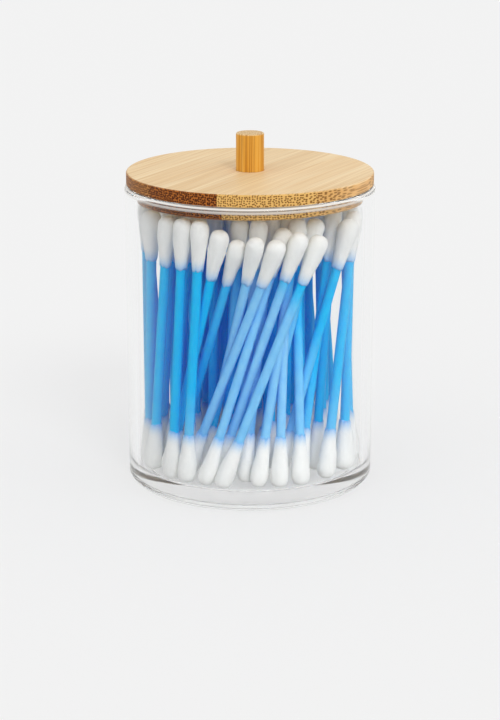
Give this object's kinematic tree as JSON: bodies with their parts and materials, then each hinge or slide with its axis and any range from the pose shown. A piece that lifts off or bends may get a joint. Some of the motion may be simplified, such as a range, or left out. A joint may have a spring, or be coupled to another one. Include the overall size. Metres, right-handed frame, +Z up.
{
  "type": "cotton swab organizer",
  "caption": "Round clear plastic jar full of cotton swabs with blue sticks, closed by a lift-off bamboo lid with a plug and a short dowel knob.",
  "frame": {"origin": "centre of the jar's base, on the surface that it stands on", "axes": "+Z up along the jar's axis, -Y towards the front of the picture"},
  "size_m": [0.07, 0.07, 0.0989],
  "materials": {
    "clear_plastic": "clear polished acrylic",
    "bamboo_board": "fine sanded, lightly oiled bamboo",
    "bamboo_dowel": "fine sanded, lightly oiled bamboo",
    "blue_stick": "translucent blue moulded plastic",
    "cotton": "wound cotton fibre"
  },
  "bodies": {
    "jar": {"jar": "clear_plastic", "swab_sticks": "blue_stick", "lower_swab_tips": "cotton", "upper_swab_tips": "cotton"},
    "lid": {"lid": "bamboo_board", "knob": "bamboo_dowel"}
  },
  "joints": [
    {"name": "lid_lift", "type": "slide", "parent": "jar", "child": "lid", "axis": [0, 0, 1], "range_m": [0, 0.05]}
  ]
}
